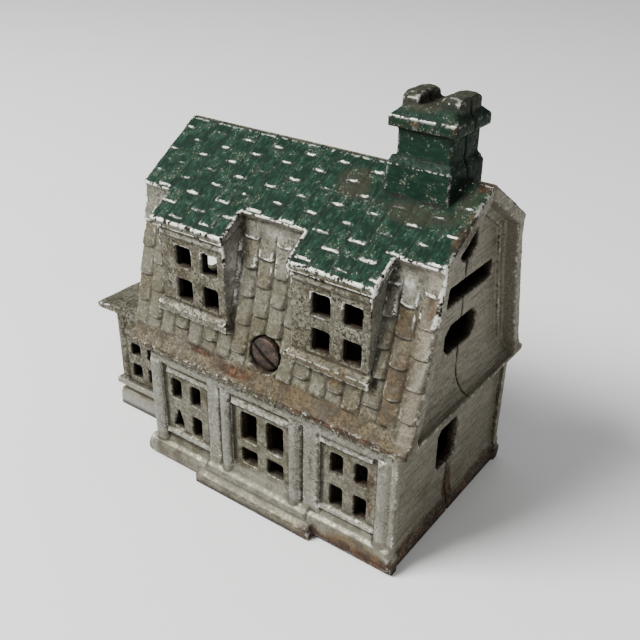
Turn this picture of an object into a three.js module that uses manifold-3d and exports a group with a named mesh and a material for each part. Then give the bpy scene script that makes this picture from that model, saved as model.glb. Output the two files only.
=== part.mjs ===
// Cast iron still bank: a two-storey gambrel-roofed house with a side wing.
//
// The house is two iron castings, a front and a back, that meet on the upright plane y = 0.
// One long slotted screw lies in a counterbore in the front casting and threads into a post
// in the back casting. Roof, dormers, chimney, wing, mouldings and floor are all parts of the
// castings. Millimetres, +Z up. The house stands on z = 0 and faces -Y.

import * as THREE from "three";
import { mergeVertices } from "three/addons/utils/BufferGeometryUtils.js";
import Module from "manifold-3d";

const wasm = await Module();
wasm.setup();

// ---- Driving dimensions -------------------------------------------------------------------

const WALL = 2.6;                     // thickness of the cast walls, floor and roof
const PARTING_GAP = 0.3;              // seam between the two castings
const CUT = 80;                       // half size of a tool that cuts right through the house

// Main block. The left end carries the wing, the right end is filed flat.
const END_LEFT = -34.2;
const END_RIGHT = 35.3;
const END_SKIRT = { x: 36.7, y: 26.0, edge: 1.6, z: 6.5 };   // swelling at the foot of the right end
const PANEL_Y = 25.2;                 // face of the wall panels, front and back
const PILASTER_Y = 26.0;              // face of the pilasters and frieze
const PILASTER_LEFT = -34.8;
const PILASTER_RIGHT = 36.7;
const CORNICE_Z = 33.2;               // underside of the eaves
const FRIEZE_Z = 29.3;                // underside of the plain band below the eaves

// Gambrel roof.
const ROOF_LEFT = -40.2;
const ROOF_RIGHT = 39.2;
const RIDGE_Z = 83.4;
const BREAK = { y: 18.2, z: 71.5 };   // edge between the green roof and the steep slope
const STEEP_SLOPE = [                 // |y| and z down the steep slope to the flared eaves
  [17.4, 70.1],
  [19.3, 59.0],
  [22.3, 46.5],
  [24.2, 39.0],
  [25.9, 35.9],
  [27.8, 34.6],
];
const EAVES_Y = 27.8;

// Gable ends: a panel sunk into the end, with a coved sill at its foot.
const GABLE_PANEL_RIGHT = 35.0;
const GABLE_PANEL_LEFT = -35.0;
const GABLE_SILL_Z = 40.2;
const GABLE_LIP_Z = 34.2;
const GABLE_LIP_REACH = 3.0;
const GABLE_COVE = 1.8;
const RIM = 2.8;

// Openings in the gable ends: [y0, y1, z0, z1].
const COIN_SLOT = [-13.0, 13.0, 57.7, 62.0];
const GABLE_TOP_OPENING = [-4.1, 4.1, 66.3, 74.2];
const GABLE_TOP_OPENING_CHAMFER = 2.4;
const ATTIC_WINDOW = [-6.9, 7.4, 45.7, 52.8];
const ATTIC_WINDOW_CHAMFER = 2.0;
const END_WINDOW = [-5.6, 4.0, 14.3, 25.6];
const END_WINDOW_CHAMFER = 1.4;

// Windows: centre, the inner and outer edge of each column of panes, the rows of panes.
const GROUND_WINDOW = { centres: [-24.1, 24.2], columns: [1.55, 4.9], rows: [[10.3, 16.5], [19.6, 25.3]] };
const DOOR_WINDOW = { centres: [-0.1], columns: [1.4, 6.3], rows: [[10.2, 14.6], [16.8, 25.0]] };
const DORMER_WINDOW = { centres: [-19.1, 19.1], columns: [1.55, 6.3], rows: [[48.0, 53.5], [56.5, 61.7]] };
const WING_WINDOW = { centres: [-49.7], columns: [1.3, 4.9], rows: [[10.6, 15.0], [17.6, 21.6]] };

// The panes of the back door and the back dormers are cast blind, as shallow recesses.
const BLIND_PANE_DEPTH = 0.9;

// Pilasters: [x0, x1] of each on the front and on the back.
const PILASTERS = [
  [PILASTER_LEFT, -31.0],
  [-16.2, -8.6],
  [8.6, 16.9],
  [32.0, PILASTER_RIGHT],
];

// Base moulding and door step.
const BASE_LEFT = -37.4;
const BASE_RIGHT = 37.2;
const BASE_Y = 27.3;
const BASE_Z = 5.0;
const STEP = { x0: -19.0, x1: 16.2, y: 29.0, z: 2.6, shoulder: 1.2 };

// Dormers, the same on the front and the back.
const DORMERS = [
  { face: [-30.3, -10.6], roof: [-31.9, -10.2], sill: [-31.0, -9.9] },
  { face: [7.7, 27.4], roof: [7.0, 28.4], sill: [6.6, 28.0] },
];
const DORMER_FACE_Y = 24.0;
const DORMER_FOOT_Z = 45.0;
const DORMER_ROOF_Y = 24.9;
const DORMER_ROOF_THICKNESS = 1.9;
const DORMER_WALL = 2.2;
const DORMER_SILL = { y: 25.2, z0: 44.4, z1: 46.1 };

// Chimney.
const CHIMNEY_BLOCK = { x0: 18.4, x1: 32.9, y: 7.0, z: 85.6 };
const CHIMNEY_SHAFT = { x0: 19.9, x1: 31.9, y: 5.9, z: 93.2 };
const CHIMNEY_CAP = { x0: 18.3, x1: 33.5, y: 7.2, z0: 92.6, z1: 94.8, crown: 97.0, inset: 2.4 };
const CHIMNEY_POTS = [[19.8, 23.4], [28.1, 32.3]];
const CHIMNEY_POT_Y = 4.6;
const CHIMNEY_POT_Z = 99.2;
const CHIMNEY_POT_SHOULDER = 1.0;

// Wing on the left end.
const WING_END = -58.9;
const WING_Y = 15.4;
const WING_EAVES_Z = 30.4;
const WING_ROOF = { end: -64.2, y: 17.2, edge: 1.4, rise: 3.2 };
const WING_BASE = { end: -60.0, y: 16.3, z: 3.8 };
const WING_SILL = { end: -60.4, y: 16.6, z0: 7.0, z1: 8.8 };

// Assembly screw. Its head lies in a counterbore in the front slope, backed by a boss inside,
// and its thread ends in a post of the back casting.
const SCREW_X = 0.0;
const SCREW_Z = 41.9;
const SCREW_HEAD_RADIUS = 3.85;
const SCREW_HEAD_HEIGHT = 2.3;
const SCREW_SHANK_RADIUS = 2.05;
const SCREW_LENGTH = 38.1;
const SCREW_SLOT = { width: 1.0, depth: 0.8, angle: 35 };
const COUNTERBORE_RADIUS = 4.35;
const COUNTERBORE_SEAT_Y = 21.7;
const BOSS_RADIUS = 6.2;
const BOSS_BACK_Y = 17.0;
const POST_RADIUS = 4.6;
const CLEARANCE_RADIUS = 2.5;
const THREAD_RADIUS = 2.12;
const THREAD_END_Y = 17.4;
const HEAD_SEAT_GAP = 0.05;

// Locating lugs of the front casting that lap inside the back casting.
const LUGS = [
  { x0: 10.0, x1: 18.0, z0: WALL + 0.3, z1: WALL + 2.6 },
  { x0: -26.0, x1: -18.0, z0: WALL + 0.3, z1: WALL + 2.6 },
];
const LUG_LAP = 3.0;
const LUG_ROOT = 4.0;

// ---- Solids -------------------------------------------------------------------------------

function solid(geometry) {
  const bare = geometry.clone();
  bare.deleteAttribute("normal");
  bare.deleteAttribute("uv");
  const merged = mergeVertices(bare, 1e-5);
  const mesh = new wasm.Mesh({
    numProp: 3,
    vertProperties: new Float32Array(merged.attributes.position.array),
    triVerts: new Uint32Array(merged.index.array),
  });
  return new wasm.Manifold(mesh);
}

function box(x0, x1, y0, y1, z0, z1) {
  const geometry = new THREE.BoxGeometry(x1 - x0, y1 - y0, z1 - z0);
  geometry.translate((x0 + x1) / 2, (y0 + y1) / 2, (z0 + z1) / 2);
  return solid(geometry);
}

function outline(points) {
  return new THREE.Shape(points.map(([a, b]) => new THREE.Vector2(a, b)));
}

// A prism along X whose outline is given as [y, z] points.
function prismAlongX(points, x0, x1) {
  const geometry = new THREE.ExtrudeGeometry(outline(points), { depth: x1 - x0, bevelEnabled: false });
  const turn = new THREE.Matrix4().makeBasis(
    new THREE.Vector3(0, 1, 0),
    new THREE.Vector3(0, 0, 1),
    new THREE.Vector3(1, 0, 0),
  );
  geometry.applyMatrix4(turn);
  geometry.translate(x0, 0, 0);
  return solid(geometry);
}

// A prism along Y whose outline is given as [x, z] points.
function prismAlongY(points, y0, y1) {
  const geometry = new THREE.ExtrudeGeometry(outline(points), { depth: y1 - y0, bevelEnabled: false });
  const turn = new THREE.Matrix4().makeBasis(
    new THREE.Vector3(1, 0, 0),
    new THREE.Vector3(0, 0, 1),
    new THREE.Vector3(0, -1, 0),
  );
  geometry.applyMatrix4(turn);
  geometry.translate(0, y1, 0);
  return solid(geometry);
}

function cylinderAlongY(x, z, radius, y0, y1, sides = 32) {
  const geometry = new THREE.CylinderGeometry(radius, radius, y1 - y0, sides);
  geometry.translate(x, (y0 + y1) / 2, z);
  return solid(geometry);
}

function unite(parts) {
  return parts.reduce((whole, part) => whole.add(part));
}

// Right half of an outline, from bottom to top, closed by its mirror image in y = 0.
function mirrored(rightHalf) {
  const leftHalf = rightHalf.filter(([y]) => y > 0).map(([y, z]) => [-y, z]).reverse();
  return [...rightHalf, ...leftHalf];
}

function chamferedRectangle([a0, a1, b0, b1], chamfer) {
  return [
    [a0 + chamfer, b0], [a1 - chamfer, b0], [a1, b0 + chamfer], [a1, b1 - chamfer],
    [a1 - chamfer, b1], [a0 + chamfer, b1], [a0, b1 - chamfer], [a0, b0 + chamfer],
  ];
}

// The same piece on the front and on the back.
function frontAndBack(make) {
  return [make(-1), make(1)];
}

function between(side, near, far) {
  return side < 0 ? [-far, -near] : [near, far];
}

// ---- Main block and roof ------------------------------------------------------------------

function roofOutline() {
  const steep = [...STEEP_SLOPE].reverse();
  return mirrored([[PANEL_Y, CORNICE_Z], [EAVES_Y, CORNICE_Z], ...steep, [BREAK.y, BREAK.z], [0, RIDGE_Z]]);
}

// The steep slope and roof moved in by a wall thickness, down to the height given.
function innerRoofOutline(thickness, bottomZ) {
  const steep = STEEP_SLOPE.filter(([, z]) => z > bottomZ + 1).map(([y, z]) => [y - thickness, z]).reverse();
  const foot = [steepSlopeY(bottomZ) - thickness, bottomZ];
  const crown = (RIDGE_Z - BREAK.z) / BREAK.y;
  const top = RIDGE_Z - thickness * Math.hypot(1, crown);
  const shoulderY = steep[steep.length - 1][0];
  return mirrored([foot, ...steep.slice(0, -1), [shoulderY, top - crown * shoulderY], [0, top]]);
}

// |y| of the steep slope at a height.
function steepSlopeY(z) {
  for (let i = 1; i < STEEP_SLOPE.length; i += 1) {
    const [y0, z0] = STEEP_SLOPE[i - 1];
    const [y1, z1] = STEEP_SLOPE[i];
    if (z <= z0 && z >= z1) {
      return y0 + ((y1 - y0) * (z0 - z)) / (z0 - z1);
    }
  }
  return PANEL_Y;
}

// What is taken away from one gable end: the sunk panel, less the coved sill at its foot.
function gableRecess(panelX, side) {
  const outer = innerRoofOutline(RIM, GABLE_LIP_Z);
  const inner = innerRoofOutline(RIM + GABLE_COVE, GABLE_LIP_Z);
  const reach = (near, far) => (side > 0 ? [panelX + near, panelX + far] : [panelX - far, panelX - near]);
  const sunk = prismAlongX(inner, ...reach(0, CUT)).add(prismAlongX(outer, ...reach(GABLE_COVE / 2, CUT)));
  const sill = new THREE.Shape();
  sill.moveTo(panelX - side * 2, GABLE_LIP_Z - 3);
  sill.lineTo(panelX + side * CUT, GABLE_LIP_Z - 3);
  sill.lineTo(panelX + side * CUT, GABLE_LIP_Z);
  sill.lineTo(panelX + side * GABLE_LIP_REACH, GABLE_LIP_Z);
  sill.quadraticCurveTo(panelX + side * 0.4, GABLE_LIP_Z + 1.2, panelX, GABLE_SILL_Z);
  sill.lineTo(panelX - side * 2, GABLE_SILL_Z);
  const points = sill.extractPoints(4).shape.map((p) => [p.x, p.y]);
  return sunk.subtract(prismAlongY(side > 0 ? points : points.reverse(), -CUT, CUT));
}

// The eaves stop short of the roof's ends, where the gable lip takes over.
function roof() {
  const whole = prismAlongX(roofOutline(), ROOF_LEFT, ROOF_RIGHT);
  const right = gableRecess(GABLE_PANEL_RIGHT, 1);
  const left = gableRecess(GABLE_PANEL_LEFT, -1);
  return whole.subtract(right).subtract(left);
}

function windowHoles(windows, y0, y1) {
  const holes = [];
  for (const centre of windows.centres) {
    for (const side of [-1, 1]) {
      const [near, far] = windows.columns;
      const x0 = centre + Math.min(side * near, side * far);
      const x1 = centre + Math.max(side * near, side * far);
      for (const [z0, z1] of windows.rows) {
        holes.push(box(x0, x1, y0, y1, z0, z1));
      }
    }
  }
  return unite(holes);
}

// Bull-nosed plinth along the front or the back.
function plinth(x0, x1, nearY, farY, height, side) {
  const nose = farY - nearY;
  const points = [
    [nearY - 1, 0],
    [farY - nose * 0.45, 0],
    [farY, height * 0.28],
    [farY - nose * 0.1, height * 0.62],
    [farY - nose * 0.55, height * 0.88],
    [nearY, height],
    [nearY - 1, height],
  ].map(([y, z]) => [side * y, z]);
  return prismAlongX(side > 0 ? points : points.reverse(), x0, x1);
}

function groundFloor() {
  const parts = [box(END_LEFT, END_RIGHT, -PANEL_Y, PANEL_Y, 0, CORNICE_Z + 1)];
  for (const side of [-1, 1]) {
    const relief = between(side, PANEL_Y - 1, PILASTER_Y);
    parts.push(box(PILASTER_LEFT, PILASTER_RIGHT, ...relief, FRIEZE_Z, CORNICE_Z + 1));
    for (const [x0, x1] of PILASTERS) {
      parts.push(box(x0, x1, ...relief, 0, FRIEZE_Z + 1));
    }
    parts.push(plinth(BASE_LEFT, BASE_RIGHT, PANEL_Y, BASE_Y, BASE_Z, side));
    parts.push(box(STEP.x0, STEP.x1, ...between(side, PANEL_Y - 1, STEP.y), 0, STEP.z));
    const shoulder = between(side, PANEL_Y - 1, BASE_Y + 0.6);
    parts.push(box(STEP.x0 + 1, STEP.x1 - 1, ...shoulder, 0, STEP.z + STEP.shoulder));
  }
  parts.push(prismAlongY([
    [END_RIGHT - 1, 0],
    [END_SKIRT.x, 0],
    [END_SKIRT.x, END_SKIRT.edge],
    [END_RIGHT, END_SKIRT.z],
    [END_RIGHT - 1, END_SKIRT.z],
  ], -END_SKIRT.y, END_SKIRT.y));
  return unite(parts);
}

// ---- Dormers ------------------------------------------------------------------------------

function dormerRoofZ(y) {
  return RIDGE_Z - (y * (RIDGE_Z - BREAK.z)) / BREAK.y;
}

function dormerShell({ face, roof: cover, sill }, side) {
  const inner = 14;
  const slab = [
    [inner, dormerRoofZ(inner)],
    [DORMER_ROOF_Y, dormerRoofZ(DORMER_ROOF_Y)],
    [DORMER_ROOF_Y, dormerRoofZ(DORMER_ROOF_Y) - DORMER_ROOF_THICKNESS],
    [inner, dormerRoofZ(inner) - DORMER_ROOF_THICKNESS - 1],
  ].map(([y, z]) => [side * y, z]);
  const body = [
    [inner, DORMER_FOOT_Z],
    [DORMER_FACE_Y, DORMER_FOOT_Z],
    [DORMER_FACE_Y, dormerRoofZ(DORMER_FACE_Y) - 1],
    [inner, dormerRoofZ(inner) - 1],
  ].map(([y, z]) => [side * y, z]);
  return unite([
    prismAlongX(side > 0 ? slab.reverse() : slab, ...cover),
    prismAlongX(side > 0 ? body : body.reverse(), ...face),
    box(...sill, ...between(side, DORMER_FACE_Y - 2, DORMER_SILL.y), DORMER_SILL.z0, DORMER_SILL.z1),
  ]);
}

function dormerHollow({ face }, side) {
  const [x0, x1] = face;
  const points = [
    [0, DORMER_FOOT_Z + DORMER_WALL],
    [DORMER_FACE_Y - DORMER_WALL, DORMER_FOOT_Z + DORMER_WALL],
    [DORMER_FACE_Y - DORMER_WALL, dormerRoofZ(DORMER_FACE_Y) - WALL - 0.6],
    [0, dormerRoofZ(DORMER_FACE_Y) - WALL - 0.6],
  ].map(([y, z]) => [side * y, z]);
  return prismAlongX(side > 0 ? points : points.reverse(), x0 + DORMER_WALL, x1 - DORMER_WALL);
}

// ---- Chimney ------------------------------------------------------------------------------

function chimneyPot([x0, x1]) {
  const shoulder = CHIMNEY_POT_SHOULDER;
  const points = [
    [x0, CHIMNEY_CAP.z1],
    [x1, CHIMNEY_CAP.z1],
    [x1, CHIMNEY_POT_Z - shoulder],
    [x1 - shoulder, CHIMNEY_POT_Z],
    [x0 + shoulder, CHIMNEY_POT_Z],
    [x0, CHIMNEY_POT_Z - shoulder],
  ];
  const across = prismAlongY(points, -CHIMNEY_POT_Y, CHIMNEY_POT_Y);
  const along = prismAlongX(mirrored([
    [CHIMNEY_POT_Y, CHIMNEY_CAP.z1],
    [CHIMNEY_POT_Y, CHIMNEY_POT_Z - shoulder],
    [CHIMNEY_POT_Y - shoulder, CHIMNEY_POT_Z],
  ]), x0, x1);
  return across.intersect(along);
}

function chimney() {
  const rootZ = RIDGE_Z - 12;
  const block = CHIMNEY_BLOCK;
  const shaft = CHIMNEY_SHAFT;
  const cap = CHIMNEY_CAP;
  const crown = prismAlongX(mirrored([
    [cap.y, cap.z0],
    [cap.y, cap.z1],
    [cap.y - cap.inset, cap.crown],
  ]), cap.x0, cap.x1).intersect(prismAlongY([
    [cap.x0, cap.z0],
    [cap.x1, cap.z0],
    [cap.x1, cap.z1],
    [cap.x1 - cap.inset, cap.crown],
    [cap.x0 + cap.inset, cap.crown],
    [cap.x0, cap.z1],
  ], -cap.y, cap.y));
  return unite([
    box(block.x0, block.x1, -block.y, block.y, rootZ, block.z),
    box(shaft.x0, shaft.x1, -shaft.y, shaft.y, rootZ, shaft.z),
    crown,
    ...CHIMNEY_POTS.map(chimneyPot),
  ]);
}

// ---- Wing ---------------------------------------------------------------------------------

function wing() {
  const joinX = END_LEFT + 1;
  const cover = WING_ROOF;
  const roofPoints = [
    [cover.end, WING_EAVES_Z],
    [joinX, WING_EAVES_Z],
    [joinX, WING_EAVES_Z + cover.edge + cover.rise],
    [cover.end, WING_EAVES_Z + cover.edge],
  ];
  return unite([
    box(WING_END, joinX, -WING_Y, WING_Y, 0, WING_EAVES_Z + 1),
    prismAlongY(roofPoints, -cover.y, cover.y),
    box(WING_BASE.end, joinX, -WING_BASE.y, WING_BASE.y, 0, WING_BASE.z),
    box(WING_SILL.end, joinX, -WING_SILL.y, WING_SILL.y, WING_SILL.z0, WING_SILL.z1),
  ]);
}

function wingHollow() {
  return box(WING_END + WALL, END_LEFT + WALL + 1, -WING_Y + WALL, WING_Y - WALL, WALL, WING_EAVES_Z - 0.6);
}

// ---- The hollow house ---------------------------------------------------------------------

function chamber() {
  const crown = (RIDGE_Z - BREAK.z) / BREAK.y;
  const top = RIDGE_Z - WALL * Math.hypot(1, crown);
  const shoulderY = steepSlopeY(66) - WALL;
  const points = mirrored([
    [PANEL_Y - WALL, WALL],
    [PANEL_Y - WALL, CORNICE_Z],
    [steepSlopeY(39.5) - WALL, 39.5],
    [steepSlopeY(58.5) - WALL, 58.5],
    [shoulderY, top - crown * shoulderY],
    [0, top],
  ]);
  return prismAlongX(points, END_LEFT + WALL, END_RIGHT - WALL);
}

function endOpenings() {
  const topOpening = chamferedRectangle(GABLE_TOP_OPENING, GABLE_TOP_OPENING_CHAMFER);
  const attic = chamferedRectangle(ATTIC_WINDOW, ATTIC_WINDOW_CHAMFER);
  const endWindow = chamferedRectangle(END_WINDOW, END_WINDOW_CHAMFER);
  const [slotY0, slotY1, slotZ0, slotZ1] = COIN_SLOT;
  return unite([
    prismAlongX(topOpening, 20, CUT),
    prismAlongX(attic, 20, CUT),
    box(20, CUT, slotY0, slotY1, slotZ0, slotZ1),
    prismAlongX(endWindow, 20, CUT),
    prismAlongX(topOpening, -CUT, -20),
    prismAlongX(attic, -CUT, -20),
    prismAlongX(endWindow, -CUT, -50),
  ]);
}

function house() {
  const shell = unite([
    groundFloor(),
    roof(),
    wing(),
    chimney(),
    ...DORMERS.flatMap((dormer) => frontAndBack((side) => dormerShell(dormer, side))),
  ]);
  const hollow = unite([
    chamber(),
    wingHollow(),
    ...DORMERS.flatMap((dormer) => frontAndBack((side) => dormerHollow(dormer, side))),
  ]);
  const panes = unite([
    windowHoles(GROUND_WINDOW, -CUT, CUT),
    windowHoles(WING_WINDOW, -CUT, CUT),
    windowHoles(DOOR_WINDOW, -CUT, 0),
    windowHoles(DORMER_WINDOW, -CUT, 0),
    windowHoles(DOOR_WINDOW, PANEL_Y - BLIND_PANE_DEPTH, CUT),
    windowHoles(DORMER_WINDOW, DORMER_FACE_Y - BLIND_PANE_DEPTH, CUT),
  ]);
  return shell.subtract(hollow).subtract(panes).subtract(endOpenings());
}

// ---- The three pieces ---------------------------------------------------------------------

function frontCasting(whole) {
  const boss = unite([
    cylinderAlongY(SCREW_X, SCREW_Z, BOSS_RADIUS, -COUNTERBORE_SEAT_Y, -BOSS_BACK_Y),
    cylinderAlongY(SCREW_X, SCREW_Z, POST_RADIUS, -COUNTERBORE_SEAT_Y, -PARTING_GAP / 2),
  ]);
  const half = whole.intersect(box(-CUT, CUT, -CUT, -PARTING_GAP / 2, -1, 2 * CUT));
  const lugs = LUGS.map(({ x0, x1, z0, z1 }) => unite([
    box(x0, x1, -LUG_ROOT, LUG_LAP, z0, z1),
    box(x0, x1, -LUG_ROOT, -PARTING_GAP / 2, WALL - 1, z1),
  ]));
  const bore = cylinderAlongY(SCREW_X, SCREW_Z, CLEARANCE_RADIUS, -CUT, CUT);
  const counterbore = cylinderAlongY(SCREW_X, SCREW_Z, COUNTERBORE_RADIUS, -CUT, -COUNTERBORE_SEAT_Y);
  return unite([half, boss, ...lugs]).subtract(bore).subtract(counterbore);
}

function backCasting(whole) {
  const half = whole.intersect(box(-CUT, CUT, PARTING_GAP / 2, CUT, -1, 2 * CUT));
  const post = cylinderAlongY(SCREW_X, SCREW_Z, POST_RADIUS, PARTING_GAP / 2, steepSlopeY(SCREW_Z) - 1);
  const bore = cylinderAlongY(SCREW_X, SCREW_Z, THREAD_RADIUS, -1, THREAD_END_Y);
  return half.add(post).subtract(bore);
}

function assemblyScrew() {
  const seatY = -COUNTERBORE_SEAT_Y - HEAD_SEAT_GAP;
  const crownY = seatY - SCREW_HEAD_HEIGHT;
  const profile = [
    new THREE.Vector2(0, SCREW_LENGTH),
    new THREE.Vector2(SCREW_SHANK_RADIUS - 0.5, SCREW_LENGTH),
    new THREE.Vector2(SCREW_SHANK_RADIUS, SCREW_LENGTH - 0.7),
    new THREE.Vector2(SCREW_SHANK_RADIUS, 0),
    new THREE.Vector2(SCREW_HEAD_RADIUS, 0),
    new THREE.Vector2(SCREW_HEAD_RADIUS, -SCREW_HEAD_HEIGHT * 0.35),
    new THREE.Vector2(SCREW_HEAD_RADIUS * 0.86, -SCREW_HEAD_HEIGHT * 0.72),
    new THREE.Vector2(SCREW_HEAD_RADIUS * 0.5, -SCREW_HEAD_HEIGHT * 0.95),
    new THREE.Vector2(0, -SCREW_HEAD_HEIGHT),
  ];
  const turned = new THREE.LatheGeometry(profile.reverse(), 32);
  turned.translate(SCREW_X, seatY, SCREW_Z);
  const slot = new THREE.BoxGeometry(4 * SCREW_HEAD_RADIUS, 2 * SCREW_SLOT.depth, SCREW_SLOT.width);
  slot.rotateY(THREE.MathUtils.degToRad(SCREW_SLOT.angle));
  slot.translate(SCREW_X, crownY, SCREW_Z);
  return solid(turned).subtract(solid(slot));
}

// ---- Scene graph --------------------------------------------------------------------------

function meshOf(name, body, material) {
  const result = body.getMesh();
  const geometry = new THREE.BufferGeometry();
  geometry.setAttribute("position", new THREE.BufferAttribute(new Float32Array(result.vertProperties), 3));
  geometry.setIndex(new THREE.BufferAttribute(new Uint32Array(result.triVerts), 1));
  geometry.computeVertexNormals();
  const mesh = new THREE.Mesh(geometry, material);
  mesh.name = name;
  return mesh;
}

const silverPaint = new THREE.MeshStandardMaterial({ color: 0x9a978e, roughness: 0.55, metalness: 0.6 });
const backPaint = new THREE.MeshStandardMaterial({ color: 0x8f8c84, roughness: 0.55, metalness: 0.6 });
const brownSteel = new THREE.MeshStandardMaterial({ color: 0x4a3a33, roughness: 0.5, metalness: 0.7 });

const whole = house();
const bank = new THREE.Group();
bank.add(meshOf("front_casting", frontCasting(whole), silverPaint));
bank.add(meshOf("back_casting", backCasting(whole), backPaint));
bank.add(meshOf("assembly_screw", assemblyScrew(), brownSteel));

// The origin is under the middle of the whole bank, wing included.
bank.position.x = -(WING_ROOF.end + ROOF_RIGHT) / 2;

export default bank;
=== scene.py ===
"""Cast iron still bank: the visual model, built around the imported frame.

The two castings are copied from the frame, given their mouldings, sills, columns and cast
shingles as real relief, and their surface is remade fine enough to carry worn edges and a
cast skin. The screw is turned with its slot and its thread. Everything is worked out in
millimetres in the house's own frame (x = 0 at the door, y = 0 at the parting plane, z = 0 at
the ground) and moved into the row's frame, in metres, at the end.
"""

import math
from collections import namedtuple
from functools import reduce
from itertools import product

import bmesh
import bpy
import numpy as np
from mathutils import Euler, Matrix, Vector


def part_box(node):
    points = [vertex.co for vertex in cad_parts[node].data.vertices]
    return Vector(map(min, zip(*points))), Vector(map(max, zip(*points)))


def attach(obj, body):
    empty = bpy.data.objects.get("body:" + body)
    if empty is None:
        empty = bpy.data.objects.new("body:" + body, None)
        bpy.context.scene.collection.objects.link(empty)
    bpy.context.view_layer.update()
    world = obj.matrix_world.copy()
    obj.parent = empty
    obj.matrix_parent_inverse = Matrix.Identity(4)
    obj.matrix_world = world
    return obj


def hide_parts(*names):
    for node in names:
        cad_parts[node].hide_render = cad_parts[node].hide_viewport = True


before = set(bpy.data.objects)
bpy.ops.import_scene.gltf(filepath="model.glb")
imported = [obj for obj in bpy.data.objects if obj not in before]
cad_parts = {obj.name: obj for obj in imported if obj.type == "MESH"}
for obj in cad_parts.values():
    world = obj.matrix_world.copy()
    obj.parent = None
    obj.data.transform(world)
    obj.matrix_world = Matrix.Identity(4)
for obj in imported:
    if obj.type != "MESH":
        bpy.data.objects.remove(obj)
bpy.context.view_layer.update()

# ---- Units and the house's frame ----

MM = 0.001
WING_ROOF_END = -64.2  # the house's lowest x
DOOR_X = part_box("front_casting")[0].x / MM - WING_ROOF_END

# ---- Dimensions of the house, in millimetres ----
# A name in _Y is a depth: a distance from the parting plane, the same to the front and the back.

END_LEFT, END_RIGHT = -34.2, 35.3
PANEL_Y, PILASTER_Y = 25.2, 26.0
FRIEZE_Z, CORNICE_Z = 29.3, 33.2
RIDGE_Z = 83.4
BREAK_Y, BREAK_Z = 18.2, 71.5  # where the upper slope ends
# The steep slope's outline: pairs of height and depth.
STEEP_SLOPE = [(34.6, 27.8), (35.9, 25.9), (39.0, 24.2), (46.5, 22.3), (59.0, 19.3), (70.1, 17.4)]
STEP_LEFT, STEP_RIGHT, STEP_Y = -19.0, 16.2, 29.0
BASE_Y = 27.3
WALL = 2.6
WING_END, WING_Y, WING_EAVES_Z = -58.9, 15.4, 30.4
DORMER_FACES, DORMER_Y, DORMER_FOOT_Z = [(-30.3, -10.6), (7.7, 27.4)], 24.0, 46.0
CHIMNEY_X, CHIMNEY_Y = (18.3, 33.5), 7.2
SHAFT_X, SHAFT_Y = (19.9, 31.9), 5.9
BLOCK_X, BLOCK_Y, BLOCK_Z = (18.4, 32.9), 7.0, 85.5
POTS_X = [(19.8, 23.4), (28.1, 32.3)]
SCREW_X, SCREW_Z = 0.0, 41.9
ROOT = -1.0  # a moulding's back lies this far inside its wall

# Panes: centre x, near and far edge of each column from it, the rows of panes, the wall's depth.
WINDOWS = [
    (-24.1, (1.55, 4.9), ((10.3, 16.5), (19.6, 25.3)), PANEL_Y),
    (24.2, (1.55, 4.9), ((10.3, 16.5), (19.6, 25.3)), PANEL_Y),
    (-0.1, (1.4, 6.3), ((10.2, 14.6), (16.8, 25.0)), PANEL_Y),
    (-19.1, (1.55, 6.3), ((48.0, 53.5), (56.5, 61.7)), DORMER_Y),
    (19.1, (1.55, 6.3), ((48.0, 53.5), (56.5, 61.7)), DORMER_Y),
    (-49.7, (1.3, 4.9), ((10.6, 15.0), (17.6, 21.6)), WING_Y),
]
PANE_CORNER = 0.75  # radius of a pane's corners

# Cast shingles: columns of tongues, neighbouring columns staggered by half a tongue.
TAB_WIDTH, TAB_EDGE = 4.42, -0.7  # TAB_EDGE is the x of one edge between columns
ROOF_TABS = dict(first=7.65, length=6.9, height=0.24, arc=0.55)
STEEP_TABS = dict(first=5.8, length=6.4, height=0.85, arc=1.0)

# Upright grooves beside the columns: middle x, foot z, half width, depth of cut.
GROOVE_HEAD_Z = 29.0
GROOVES = [
    (-12.25, 7.0, 0.35, 0.7),
    (-8.75, 9.0, 0.3, 0.5),
    (8.5, 9.0, 0.3, 0.5),
    (12.0, 7.5, 0.55, 0.9),
    (16.6, 9.0, 0.3, 0.5),
    (31.6, 9.0, 0.3, 0.5),
    (35.1, 8.0, 0.22, 0.45),
    (-31.1, 9.0, 0.3, 0.5),
]

# ---- How fine the surface is ----

VOXEL = 0.3
KEPT_FACES = 0.42


# ---- Small numeric helpers ----

def smooth_step(low, high, value):
    """0 below low, 1 above high, smooth between; low may be the larger one."""
    t = np.clip((value - low) / (high - low), 0.0, 1.0)
    return t * t * (3.0 - 2.0 * t)


def band(low, high, value, soft):
    """1 between low and high, fading over soft outside them."""
    return smooth_step(low - soft, low, value) * smooth_step(high + soft, high, value)


def lattice(cells, seed):
    """A fixed pseudo-random number from 0 to 1 for each whole-number cell."""
    factors = np.array([73856093, 19349663, 83492791], dtype=np.int64)[: cells.shape[-1]]
    mixed = (cells.astype(np.int64) * factors).sum(-1) + seed * 2654435761
    mixed = (mixed ^ (mixed >> 13)) * 1274126177
    mixed = (mixed ^ (mixed >> 16)) & 0xFFFFFF
    return mixed / float(0xFFFFFF)


def noise(points, size, seed):
    """Smooth value noise from -1 to 1, with features about size millimetres across."""
    scaled = points / size
    base = np.floor(scaled)
    part = scaled - base
    part = part * part * (3.0 - 2.0 * part)
    total = np.zeros(len(points))
    for corner in range(8):
        offset = np.array([corner & 1, corner >> 1 & 1, corner >> 2 & 1])
        weight = np.prod(np.where(offset, part, 1.0 - part), axis=1)
        total += weight * lattice(base + offset, seed)
    return total * 2.0 - 1.0


def layered_noise(points, size, seed):
    """Value noise with two finer and weaker layers added."""
    total = np.zeros(len(points))
    for layer in range(3):
        total += noise(points, size / 2 ** layer, seed + layer) / 2 ** layer
    return total / (1.0 + 0.5 + 0.25)


# ---- Solids that are joined to a casting ----

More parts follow.
